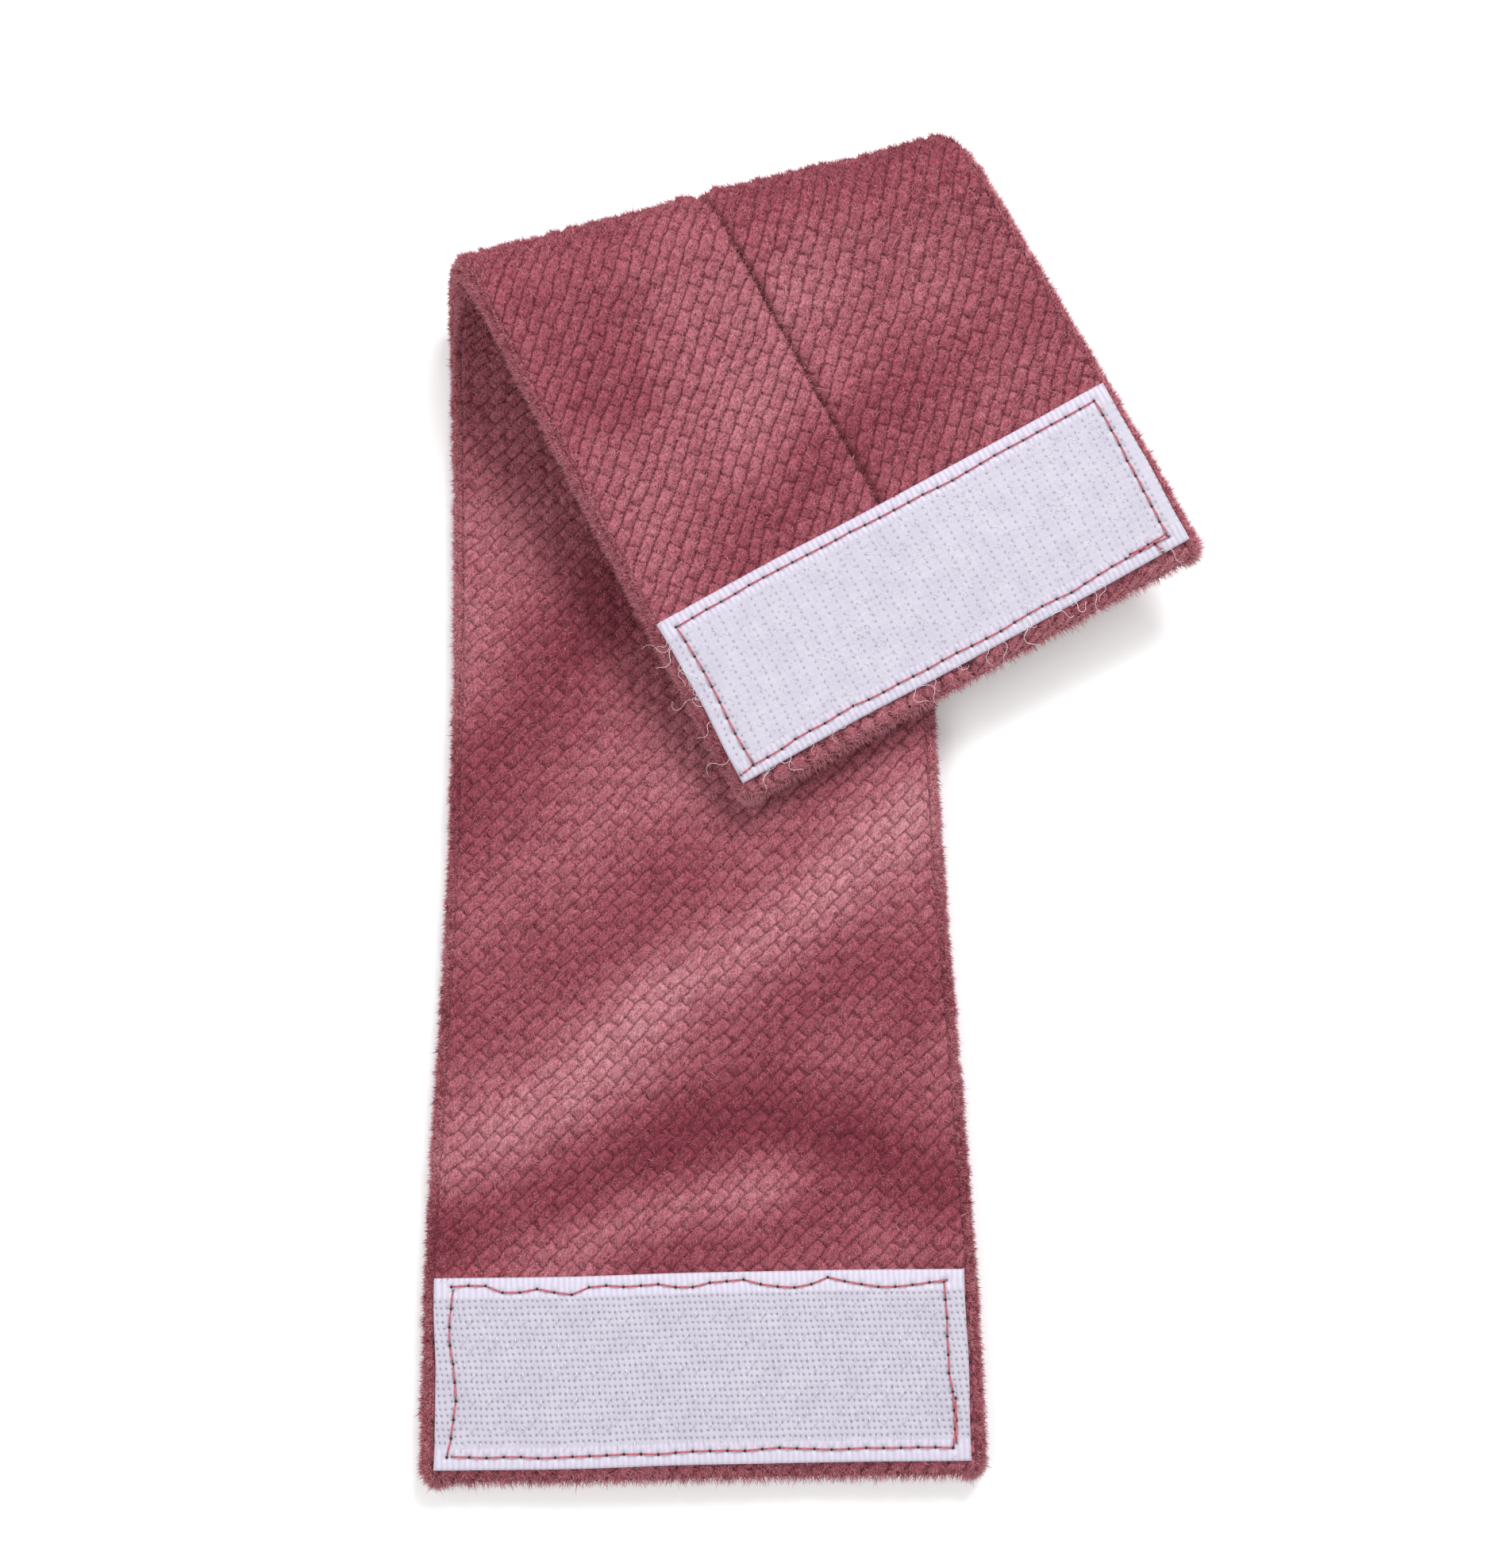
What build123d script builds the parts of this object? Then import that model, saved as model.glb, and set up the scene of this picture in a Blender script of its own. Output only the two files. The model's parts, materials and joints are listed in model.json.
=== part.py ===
"""Padded wrist band: a tube of plush cloth with a hook tape and a loop tape on its two ends.

The band lies on its back face with one end folded over on a slanting fold.  Cloth bends anywhere, so
here the band is cut into short lengths that turn on hinges: along the strap, round the fold and along
the flap.  Each length has its own cover, wadding and back seam.

Everything is first made flat: y runs along the band from its hook end, x across it and z up through
its thickness.  The lengths beyond each fold hinge are then turned about it.
"""
import os
from math import cos, pi, radians, tan

from build123d import *

# Band, mm
LENGTH = 210.0
THICK = 4.4
CLOTH = 1.3
WAIST_AT = 90.0
WIDTH_WAIST = 54.5
WIDTH_HOOK_END = 60.4
WIDTH_LOOP_END = 59.4

# Hinges, mm and degrees
HINGE_GAP = 0.9
SKEW = 14.1
FOLD_TURN = 47.25
FOLD_CHORD = 6.05
FOLD_AT = 135.5
FOLD_HINGES = 4
HOOK_SIDE_FROM = 24.0
HOOK_SIDE_TO = 121.0
HOOK_SIDE_HINGES = 8
LOOP_SIDE_FROM = 167.0
LOOP_SIDE_TO = 186.5
LOOP_SIDE_HINGES = 4

# Rounding and lining, mm
END_ROUND = 0.49 * THICK
SIDE_ROUND = 1.4
CAVITY_INSET = 1.6
WADDING_GAP = 0.05
SEAM_GROOVE = 1.2
SEAM_DEPTH = 0.8
SEAM_THREAD = 0.3

# Hook tape and loop tape, mm
TAPE_ACROSS = 56.8
TAPE_ALONG = 20.0
TAPE_BASE = 0.6
PILE_HEIGHT = 0.8
SELVEDGE = 2.1
CUT_MARGIN = 2.6
TAPE_CORNER = 0.8
HOOK_TAPE_AT = 11.2
LOOP_TAPE_AT = 199.2

# Box stitching round each tape, mm
STITCH_PITCH = 2.0
STITCH_LENGTH = 1.6
STITCH_WIDTH = 0.4
STITCH_HEIGHT = 0.3
STITCH_IN_ALONG = 1.25
STITCH_IN_ACROSS = 1.7


def evenly(first, last, count):
    """Evenly spaced stations from first to last."""
    return [first + (last - first) * i / (count - 1) for i in range(count)]


def half_width(y):
    """Half the band's width: a cosine from each end down to the waist."""
    if y < WAIST_AT:
        end, phase = WIDTH_HOOK_END, (WAIST_AT - y) / WAIST_AT
    else:
        end, phase = WIDTH_LOOP_END, (y - WAIST_AT) / (LENGTH - WAIST_AT)
    return WIDTH_WAIST / 2 + (end - WIDTH_WAIST) / 4 * (1 - cos(pi * phase))


HOOK_SIDE = [(y, 0.0) for y in evenly(HOOK_SIDE_FROM, HOOK_SIDE_TO, HOOK_SIDE_HINGES)]
FOLD_PITCH = FOLD_CHORD / cos(radians(SKEW))
FOLD = [(FOLD_AT + i * FOLD_PITCH, SKEW) for i in range(FOLD_HINGES)]
LOOP_SIDE = [(y, 0.0) for y in evenly(LOOP_SIDE_FROM, LOOP_SIDE_TO, LOOP_SIDE_HINGES)]
HINGES = HOOK_SIDE + FOLD + LOOP_SIDE

BODIES = (
    ["hook_end"]
    + [f"strap_{i}" for i in range(1, HOOK_SIDE_HINGES)]
    + ["base"]
    + [f"bend_{i}" for i in range(1, FOLD_HINGES)]
    + ["flap"]
    + [f"lap_{i}" for i in range(1, LOOP_SIDE_HINGES)]
    + ["loop_end"]
)


def fold_axis(hinge):
    """The axis of a hinge while the band is flat, at the middle of its thickness."""
    y, skew = hinge
    return Axis((0, y, THICK / 2), (cos(radians(skew)), cos(radians(90 - skew)), 0))


def folded(shape, y):
    """Turn a shape made flat at station y about every fold hinge that lies before it."""
    for hinge in reversed([h for h in FOLD if h[0] < y]):
        shape = shape.rotate(fold_axis(hinge), FOLD_TURN)
    return shape


def corner(station, skew, side, inset=0.0):
    """The point where a line across the band, slanted by skew, meets the left or right edge."""
    y = station
    for _ in range(4):
        x = side * (half_width(y) - inset)
        y = station + x * tan(radians(skew))
    return Vector(x, y, 0)


def plan(index, inset=0.0):
    """The four corners of one length of band, drawn in by inset on every side."""
    start, skew_start = HINGES[index - 1] if index else (-HINGE_GAP / 2, 0.0)
    end, skew_end = HINGES[index] if index < len(HINGES) else (LENGTH + HINGE_GAP / 2, 0.0)
    start += (HINGE_GAP / 2 + inset) / cos(radians(skew_start))
    end -= (HINGE_GAP / 2 + inset) / cos(radians(skew_end))
    return [
        corner(start, skew_start, -1, inset),
        corner(start, skew_start, 1, inset),
        corner(end, skew_end, 1, inset),
        corner(end, skew_end, -1, inset),
    ]


def slab(corners, height, bottom=0.0):
    """A flat slab over four corners."""
    face = make_face(Polyline(*corners, close=True))
    return Pos(0, 0, bottom) * extrude(face, height)


def edges_over(shape, a, b):
    """The two level edges of a slab that run from corner a to corner b."""
    middle = (a + b) / 2
    return [e for e in shape.edges() if (e.center() - middle).X ** 2 + (e.center() - middle).Y ** 2 < 0.01]


def outer_form(index):
    """One length of band from outside: full round ends that roll past each other, and soft sides."""
    a, b, c, d = plan(index)
    form = slab([a, b, c, d], THICK)
    form = fillet(edges_over(form, a, b) + edges_over(form, c, d), END_ROUND)
    for side in ((a + d) / 2, (b + c) / 2):
        face = form.faces().sort_by_distance(side + Vector(0, 0, THICK / 2))[0]
        form = fillet(face.edges(), SIDE_ROUND)
    return form


def seam_groove(index, width, depth, bottom=0.0, inset=0.0):
    """A straight bar under the middle of the back face, as long as this length of band."""
    start = HINGES[index - 1][0] + HINGE_GAP / 2 + inset if index else inset
    end = HINGES[index][0] - HINGE_GAP / 2 - inset if index < len(HINGES) else LENGTH - inset
    bar = Box(width, end - start, depth, align=(Align.CENTER, Align.MIN, Align.MIN))
    return Pos(0, start, bottom) * bar


def cover(index):
    """The plush tube: a closed shell with the valley of its seam along the back face."""
    shell = outer_form(index) - slab(plan(index, CAVITY_INSET), THICK - 2 * CLOTH, CLOTH)
    return shell - seam_groove(index, SEAM_GROOVE, SEAM_DEPTH)


def wadding(index):
    """The thin wadding that fills the cover."""
    height = THICK - 2 * (CLOTH + WADDING_GAP)
    return slab(plan(index, CAVITY_INSET + WADDING_GAP), height, CLOTH + WADDING_GAP)


def seam_thread(index):
    """The thread that closes the tube, at the bottom of the seam's valley."""
    return seam_groove(index, SEAM_THREAD, SEAM_THREAD, SEAM_DEPTH - SEAM_THREAD, THICK / 2)


def tape(station):
    """A piece of tape: woven base with bare selvedges and a raised field of pile."""
    base = Box(TAPE_ACROSS, TAPE_ALONG, TAPE_BASE, align=(Align.CENTER, Align.CENTER, Align.MIN))
    base = fillet(base.edges().filter_by(Axis.Z), TAPE_CORNER)
    pile = Box(
        TAPE_ACROSS - 2 * CUT_MARGIN,
        TAPE_ALONG - 2 * SELVEDGE,
        PILE_HEIGHT,
        align=(Align.CENTER, Align.CENTER, Align.MIN),
    )
    return Pos(0, station, 0) * (base + Pos(0, 0, TAPE_BASE) * pile)


def box_stitching(station):
    """A rectangle of separate stitches just inside the edges of a tape."""
    reach_x = TAPE_ACROSS / 2 - STITCH_IN_ACROSS
    reach_y = TAPE_ALONG / 2 - STITCH_IN_ALONG
    along = Box(STITCH_LENGTH, STITCH_WIDTH, STITCH_HEIGHT, align=(Align.CENTER, Align.CENTER, Align.MIN))
    across = along.rotate(Axis.Z, 90)
    stitches = []
    count_x = int(2 * reach_x / STITCH_PITCH)
    for i in range(count_x):
        x = (i - (count_x - 1) / 2) * STITCH_PITCH
        stitches += [Pos(x, side * reach_y, 0) * along for side in (-1, 1)]
    count_y = int(2 * reach_y / STITCH_PITCH)
    for i in range(count_y):
        y = (i - (count_y - 1) / 2) * STITCH_PITCH
        stitches += [Pos(side * reach_x, y, 0) * across for side in (-1, 1)]
    return Pos(0, station, TAPE_BASE) * Compound(stitches)


def on_front(shape):
    """Set a tape or its stitching on the front face."""
    return Pos(0, 0, THICK) * shape


def on_back(shape):
    """Set a tape or its stitching on the back face, looking down."""
    return mirror(shape, about=Plane.XY)


def flat_parts():
    """Every node, made flat, with a station that says which fold hinges it lies beyond."""
    middles = [sum(p.Y for p in plan(i)) / 4 for i in range(len(BODIES))]
    parts = {}
    for index, body in enumerate(BODIES):
        parts[f"cover_{body}"] = (cover(index), middles[index])
        parts[f"wadding_{body}"] = (wadding(index), middles[index])
        parts[f"seam_{body}"] = (seam_thread(index), middles[index])
    parts["hook_tape"] = (on_front(tape(HOOK_TAPE_AT)), HOOK_TAPE_AT)
    parts["hook_tape_stitching"] = (on_front(box_stitching(HOOK_TAPE_AT)), HOOK_TAPE_AT)
    parts["loop_tape"] = (on_back(tape(LOOP_TAPE_AT)), LOOP_TAPE_AT)
    parts["loop_tape_stitching"] = (on_back(box_stitching(LOOP_TAPE_AT)), LOOP_TAPE_AT)
    return parts


def build():
    """Fold every node into place and centre the band over its own origin, standing on z = 0."""
    parts = {name: folded(shape, station) for name, (shape, station) in flat_parts().items()}
    boxes = [shape.bounding_box() for shape in parts.values()]
    centre_x = (min(b.min.X for b in boxes) + max(b.max.X for b in boxes)) / 2
    centre_y = (min(b.min.Y for b in boxes) + max(b.max.Y for b in boxes)) / 2
    shift = Pos(-centre_x, -centre_y, 0)
    return {name: shift * shape for name, shape in parts.items()}, shift


def main():
    os.makedirs("parts", exist_ok=True)
    parts, _ = build()
    for name, shape in parts.items():
        export_step(shape, f"parts/{name}.step")


main()
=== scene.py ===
"""Padded wrist band of ribbed plush cloth, lying folded over, with a hook tape and a loop tape.

Everything is drawn on the flat band first: x across it, y along it from the hook-tape end and h through
its thickness, all in millimetres.  place() then folds a flat point over and gives its place in the row
frame.  The plush tube is one skin cut into sixteen pieces, each lying over one joint.
"""
import json
from math import cos, pi, radians, sin

import bpy
import numpy as np
from mathutils import Matrix, Vector


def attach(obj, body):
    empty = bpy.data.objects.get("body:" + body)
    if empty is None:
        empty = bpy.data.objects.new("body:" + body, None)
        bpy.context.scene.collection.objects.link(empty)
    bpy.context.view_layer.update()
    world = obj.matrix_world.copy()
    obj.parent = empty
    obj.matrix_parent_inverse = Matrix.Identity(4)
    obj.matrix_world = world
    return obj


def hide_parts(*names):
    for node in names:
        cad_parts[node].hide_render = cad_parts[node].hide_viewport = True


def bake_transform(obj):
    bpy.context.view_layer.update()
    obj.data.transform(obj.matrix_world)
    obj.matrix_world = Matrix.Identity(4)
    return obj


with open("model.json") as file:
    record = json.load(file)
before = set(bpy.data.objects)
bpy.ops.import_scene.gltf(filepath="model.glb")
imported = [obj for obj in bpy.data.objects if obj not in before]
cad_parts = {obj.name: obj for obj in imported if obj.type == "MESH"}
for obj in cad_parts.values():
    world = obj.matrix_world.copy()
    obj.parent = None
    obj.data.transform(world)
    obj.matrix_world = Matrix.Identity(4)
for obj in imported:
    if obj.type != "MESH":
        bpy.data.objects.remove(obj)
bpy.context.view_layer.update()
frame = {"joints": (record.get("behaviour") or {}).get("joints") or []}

# ---- The band's own dimensions, mm ----
LENGTH = 210.0
LOOP_END_PROUD = 1.2
SKIN_END = LENGTH + LOOP_END_PROUD
HALF_THICK = 2.2
WAIST_AT = 90.0
WIDTH_WAIST, WIDTH_HOOK_END, WIDTH_LOOP_END = 54.5, 60.4, 59.4
SKEW = radians(14.1)
FOLD_AT = 135.5
FOLD_CHORD = 6.05
FOLD_TOTAL = 4 * radians(47.25)
FOLD_PITCH = FOLD_CHORD / cos(SKEW)
HOOK_HINGES = [24 + 97 * i / 7 for i in range(8)]
LOOP_HINGES = [167 + 6.5 * i for i in range(4)]
FOLD_HINGES = [FOLD_AT + i * FOLD_PITCH for i in range(4)]
TAPE_ACROSS, TAPE_ALONG = 56.8, 20.0
HOOK_TAPE_AT, LOOP_TAPE_AT = 11.2, 199.2

BODIES = (
    ["hook_end"] + [f"strap_{i}" for i in range(1, 8)] + ["base"]
    + [f"bend_{i}" for i in range(1, 4)] + ["flap"] + [f"lap_{i}" for i in range(1, 4)] + ["loop_end"]
)

# ---- Cloth and pile, mm ----
GRID = 0.24
SKIN = 1.95
USUAL_HALF_WIDTH = 28.2
SIDE_REACH = 1.3
END_REACH = 2.2
PLAN_CORNER = 1.6
WEAVE_ANGLE = radians(45.6)
RIB_PITCH, TUFT_LENGTH = 1.45, 2.9
EDGE_RIB, EDGE_CROSS = 1.1, 1.3
SEAM_WIDTH, SEAM_DEPTH = 0.42, 0.85
ALLOWANCE_AT, ALLOWANCE_WIDTH, ALLOWANCE_HEIGHT = 2.1, 1.1, 0.35
PILE_LEAN = radians(20)

# Layers of smooth noise: height, scale and seed
RIB_WARP = [(0.30, 5.0, 11), (0.16, 1.6, 12), (0.08, 0.6, 15)]
TUFT_WARP = [(0.30, 6.0, 13), (0.20, 1.8, 14), (0.10, 0.7, 16)]
BILLOW = [(0.25, 13.0, 21), (0.12, 6.0, 22)]
PILE_ROUGH = [(0.20, 0.5, 23), (0.10, 1.1, 24)]

# Single hairs, mm
NAP_PER_MM2 = 24.0
HAIR_LENGTH, HAIR_RADIUS = (0.42, 0.80), (0.045, 0.075)
HAIR_ROOT_DEPTH = 0.12
HAIR_LEAN, HAIR_SPREAD = -0.45, 0.65
LONG_HAIR_SHARE, LONG_HAIR_GAIN, END_HAIR_GAIN = 0.04, 1.5, 0.7
HAIR_TINT, HAIR_TINT_SPREAD = 0.58, 0.28
TUFT_TOP = 0.42

# No plush or hair lies lower than this above the floor, in metres
LOWEST = 0.00003

# Broad strokes of painted sheen and shade where the nap lies over, painted light (above 0) or dark (below
# 0): strength, spread, points on the flat
FRONT_NAP_SHEEN = [
    (1.35, 3.8, [(-25, 32), (-14, 41), (-4, 50.5), (8, 57), (17, 64), (24, 71)]),
    (-1.5, 3.6, [(-28, 26), (-14, 30.5), (-6, 34), (3, 37), (10, 37.5), (19, 34.5), (25, 30.5)]),
    (0.95, 2.6, [(-17, 24), (-7, 28), (4, 30), (8.5, 31)]),
    (-0.8, 2.6, [(-6, 21.5), (7.5, 25), (12, 27.5)]),
    (-0.7, 4.0, [(4.5, 48.5), (16, 54.5), (23, 52.5)]),
    (-0.8, 5.0, [(-25.5, 51), (-14, 57.5), (-5.5, 64.5)]),
    (0.65, 5.0, [(-21.5, 56), (-13, 66), (-6.5, 76), (5, 78.5)]),
    (-1.0, 4.5, [(-27, 70), (-21, 80.5), (-15.5, 90.5), (-9, 97)]),
    (0.7, 4.5, [(-25.5, 87), (-25, 97.5), (-22, 105.5)]),
]
BACK_NAP_SHEEN = [
    (-0.6, 4.5, [(-26, 139), (0, 146), (27, 152.5)]),
    (-0.6, 4.0, [(-13, 149), (-16, 157.5), (-19, 164.5)]),
    (0.4, 5.0, [(-10, 156), (-11, 169), (-11, 179)]),
    (0.5, 5.0, [(11, 160), (1.5, 167), (-5, 173.5)]),
    (-0.7, 3.4, [(-16.5, 186), (-7.5, 182.5), (7, 180), (26, 177.5)]),
    (-0.8, 3.4, [(4.5, 153), (15, 155), (26, 157)]),
    (0.4, 3.5, [(-23.5, 172.5), (-24, 182)]),
    (-0.4, 4.0, [(-21, 147.5), (-23, 161)]),
    (0.2, 3.5, [(18.5, 170), (20.5, 182)]),
]

joints = {j["name"]: Vector(j["pos_m"]) * 1000 for j in frame["joints"]}
rng = np.random.default_rng(7)


# ---- The fold ----
def fit_fold():
    """Radius and start of the arc that the cloth follows round the four fold hinges."""
    reach = joints["unfold_4"] - joints["unfold"]
    n3, z3 = -reach.x * sin(SKEW) + reach.y * cos(SKEW), reach.z
    end_n, end_z = sin(FOLD_TOTAL), 1 - cos(FOLD_TOTAL)
    table = [
        [1, end_n, -cos(FOLD_TOTAL)],
        [0, end_z, -sin(FOLD_TOTAL)],
        [1, FOLD_TOTAL, -1],
    ]
    return np.linalg.solve(table, [n3, z3, 3 * FOLD_CHORD])[:2]


ARC_START, ARC_RADIUS = fit_fold()


def place(x, y, h):
    """A flat point, h above the middle of the thickness, in the row frame in metres."""
    x, y, h = np.broadcast_arrays(*[np.asarray(v, float) for v in (x, y, h)])
    past = -x * sin(SKEW) + (y - FOLD_AT) * cos(SKEW)
    along = x * cos(SKEW) + (y - FOLD_AT) * sin(SKEW)
    turn = np.clip((past - ARC_START) / ARC_RADIUS, 0, FOLD_TOTAL)
    before = np.minimum(past - ARC_START, 0)
    after = np.maximum(past - ARC_START - ARC_RADIUS * FOLD_TOTAL, 0)
    n = ARC_START + before + (ARC_RADIUS - h) * np.sin(turn) + after * cos(FOLD_TOTAL)
    z = ARC_RADIUS - (ARC_RADIUS - h) * np.cos(turn) + after * sin(FOLD_TOTAL)
    origin = joints["unfold"]
    row_x = origin.x + along * cos(SKEW) - n * sin(SKEW)
    row_y = origin.y + along * sin(SKEW) + n * cos(SKEW)
    return np.stack([row_x, row_y, origin.z + z], -1) / 1000


# ---- Smooth random fields ----
def noise(x, y, scale, seed):
    """Smooth noise from -1 to 1 with features about scale mm across."""
    table = np.random.default_rng(seed).uniform(-1, 1, (64, 64))
    u, v = np.asarray(x) / scale, np.asarray(y) / scale
    i, j = np.floor(u).astype(int), np.floor(v).astype(int)
    s, t = u - i, v - j
    s, t = s * s * (3 - 2 * s), t * t * (3 - 2 * t)
    a = table[i % 64, j % 64] * (1 - s) + table[(i + 1) % 64, j % 64] * s
    b = table[i % 64, (j + 1) % 64] * (1 - s) + table[(i + 1) % 64, (j + 1) % 64] * s
    return a * (1 - t) + b * t


def stroke_field(strokes, x, y):
    """Sum of soft brush strokes, each a bell across a broken line."""
    total = np.zeros(np.shape(x))
    for strength, spread, points in strokes:
        nearest = np.full(np.shape(x), 1e9)
        for (x0, y0), (x1, y1) in zip(points, points[1:]):
            dx, dy = x1 - x0, y1 - y0
            t = np.clip(((x - x0) * dx + (y - y0) * dy) / (dx * dx + dy * dy), 0, 1)
            nearest = np.minimum(nearest, (x - x0 - t * dx) ** 2 + (y - y0 - t * dy) ** 2)
        total += strength * np.exp(-nearest / (2 * spread * spread))
    return total


def layered(x, y, layers):
    """Several layers of smooth noise, one on another."""
    return sum(height * noise(x, y, scale, seed) for height, scale, seed in layers)


def half_width(y):
    """Half the band's width: a cosine from each end down to the waist, with small plan corners."""
    before = y < WAIST_AT
    end = np.where(before, WIDTH_HOOK_END, WIDTH_LOOP_END)
    phase = np.where(before, WAIST_AT - y, y - WAIST_AT) / np.where(before, WAIST_AT, LENGTH - WAIST_AT)
    plain = WIDTH_WAIST / 2 + (end - WIDTH_WAIST) / 4 * (1 - np.cos(pi * phase))
    to_end = np.clip(np.minimum(y, SKIN_END - y), 0, PLAN_CORNER)
    return plain - 0.3 - PLAN_CORNER + np.sqrt(PLAN_CORNER**2 - (PLAN_CORNER - to_end) ** 2)


# ---- The plush skin: rows along the band, columns once round the tube ----
def row_stations():
    """Where rows cross the middle of the band, closer together over the round ends."""
    angle = np.linspace(0, pi / 2, 14)
    start = END_REACH * (1 - np.cos(angle))
    inner = np.linspace(END_REACH, SKIN_END - END_REACH, round((SKIN_END - 2 * END_REACH) / GRID) + 1)
    return np.concatenate([start[:-1], inner, (SKIN_END - start[:-1])[::-1]])


def row_skew(y):
    """Rows turn with the fold's axis near the fold and run square across the band elsewhere."""
    return SKEW * np.interp(y, [119.5, 137.5, 153.3, 170.0], [0, 1, 1, 0])


rows = row_stations()
nominal = USUAL_HALF_WIDTH - SIDE_REACH
side_length = pi * (SIDE_REACH + SKIN) / 2
round_length = 4 * nominal + 2 * side_length
columns = 4 * round(round_length / GRID / 4)
run = (np.arange(columns) / columns) * round_length
run = np.where(run > round_length / 2, run - round_length, run)
side = np.where(run >= 0, 1.0, -1.0)
run = np.abs(run)
turn = np.clip((run - nominal) / side_length, 0, 1) * pi
run_back = (2 * nominal + side_length - run) / nominal
flat_part = np.where(turn <= 0, run / nominal, np.where(turn >= pi, run_back, 1.0))
on_front = turn > pi / 2

Y, S = np.meshgrid(rows, np.arange(columns), indexing="ij")
skew = row_skew(Y)
y = Y.copy()
for _ in range(3):
    reach = half_width(y) - SIDE_REACH
    x = side[S] * (flat_part[S] * reach + SIDE_REACH * np.sin(turn[S]))
    y = Y + x * np.tan(skew)
to_end = np.clip(np.minimum(y, SKIN_END - y) / END_REACH, 0, 1)
fullness = np.sqrt(1 - (1 - to_end) ** 2)
h = -SKIN * np.cos(turn[S]) * fullness
# cloth coordinate: distance round the tube from the middle of the front face, to the right
on_side = reach + side_length * (1 - turn[S] / pi)
on_back = 2 * reach + side_length - flat_part[S] * reach
cloth = side[S] * np.where(turn[S] >= pi, flat_part[S] * reach, np.where(turn[S] > 0, on_side, on_back))

to_side = np.abs(cloth) - reach
edge = np.abs(to_side - side_length / 2) < side_length / 2 - 0.3


def cells(c, y, edge):
    """Warped rib and tuft numbers: ribs slant across both faces, and run lengthwise round the two sides."""
    warp_c = c + layered(c, y, RIB_WARP)
    warp_y = y + layered(c, y, TUFT_WARP)
    across = (warp_c * cos(WEAVE_ANGLE) - warp_y * sin(WEAVE_ANGLE)) / RIB_PITCH
    along = (warp_c * sin(WEAVE_ANGLE) + warp_y * cos(WEAVE_ANGLE)) / TUFT_LENGTH
    across = np.where(edge, np.abs(warp_c) / EDGE_RIB + 100, across)
    along = np.where(edge, warp_y / EDGE_CROSS, along)
    return across, along


def tuft_dome(across, along):
    """Height of the pile from 0 in the grooves to 1 on top of each tuft."""
    rib = np.floor(across)
    u = 2 * np.abs(across - rib - 0.5)
    step = along + 0.5 * np.mod(rib, 2) + 0.12 * np.sin(rib * 12.9898)
    v = 2 * np.abs(step - np.floor(step) - 0.5)
    return (1 - u**2.3) * (1 - v**5)


across, along = cells(cloth, y, edge)
dome = tuft_dome(across, along)

seam_x = np.where(on_front[S], 99.0, x + 0.12 * noise(y, y * 0, 2.3, 25))
seam = np.exp(-((seam_x / SEAM_WIDTH) ** 2))
allowance = np.exp(-(((np.abs(seam_x) - ALLOWANCE_AT) / ALLOWANCE_WIDTH) ** 2))
billow = layered(x, y, BILLOW)
pile = (-0.32 + 0.46 * dome) * (1 - 0.5 * seam) + layered(cloth, y, PILE_ROUGH)
sewn = ALLOWANCE_HEIGHT * allowance - SEAM_DEPTH * seam
lift = (pile + billow * np.cos(turn[S]) ** 2 + sewn) * np.minimum(1, 1.6 * fullness)
x = x + side[S] * lift * np.sin(turn[S])
h = h - lift * np.cos(turn[S])

# The lower strap lies in shallow slanting waves, which fade out under the tape and the flap.
waves = 0.58 * stroke_field(FRONT_NAP_SHEEN[:2], x, y)
waves = waves + 0.35 * noise(x * 0.8 - y * 0.5, x * 0.5 + y * 0.8, 17.0, 31)
waves *= np.interp(y, [21, 30, 95, 112], [0, 1, 1, 0]) * fullness
h = h + np.maximum(waves, -0.15) * 0.9

# painted sheen and shade: the nap strokes make the pile lighter or darker where the nap lies over; the
# noise on top is random tone
nap = np.where(on_front[S], stroke_field(FRONT_NAP_SHEEN, x, y), stroke_field(BACK_NAP_SHEEN, x, y))
grain_x = cloth * cos(PILE_LEAN) + y * sin(PILE_LEAN)
grain_y = y * cos(PILE_LEAN) - cloth * sin(PILE_LEAN)
clump = noise(grain_x, grain_y * 0.45, 0.26, 34) + 0.5 * noise(grain_x, grain_y * 0.6, 0.55, 35)
nap = nap + 0.22 * noise(cloth * 0.8 - y * 0.5, (cloth * 0.5 + y * 0.8) * 0.5, 5.0, 32)
nap = nap + 0.15 * noise(cloth, y, 2.4, 33)

skin = place(x, y, h)
skin[..., 2] = np.maximum(skin[..., 2], LOWEST)


# ---- Meshes ----
def make_mesh(name, points, faces, uv=None, fields=None):
    """A smooth mesh of faces that all have the same number of corners."""
    faces = np.asarray(faces)
    mesh = bpy.data.meshes.new(name)
    mesh.vertices.add(len(points))
    mesh.vertices.foreach_set("co", np.asarray(points, np.float32).ravel())
    mesh.loops.add(faces.size)
    mesh.loops.foreach_set("vertex_index", faces.astype(np.int32).ravel())
    mesh.polygons.add(len(faces))
    mesh.polygons.foreach_set("loop_start", np.arange(len(faces), dtype=np.int32) * faces.shape[1])
    mesh.polygons.foreach_set("use_smooth", np.ones(len(faces), bool))
    mesh.update(calc_edges=True)
    for field, values in (fields or {}).items():
        values = np.asarray(values, np.float32)
        kind, key = ("FLOAT_VECTOR", "vector") if values.ndim == 2 else ("FLOAT", "value")
        mesh.attributes.new(field, kind, "POINT").data.foreach_set(key, values.ravel())
    if uv is not None:
        mesh.uv_layers.new(name="OFBake").data.foreach_set("uv", np.asarray(uv, np.float32).ravel())
    mesh.validate()
    obj = bpy.data.objects.new(name, mesh)
    bpy.context.scene.collection.objects.link(obj)
    return obj


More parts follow.
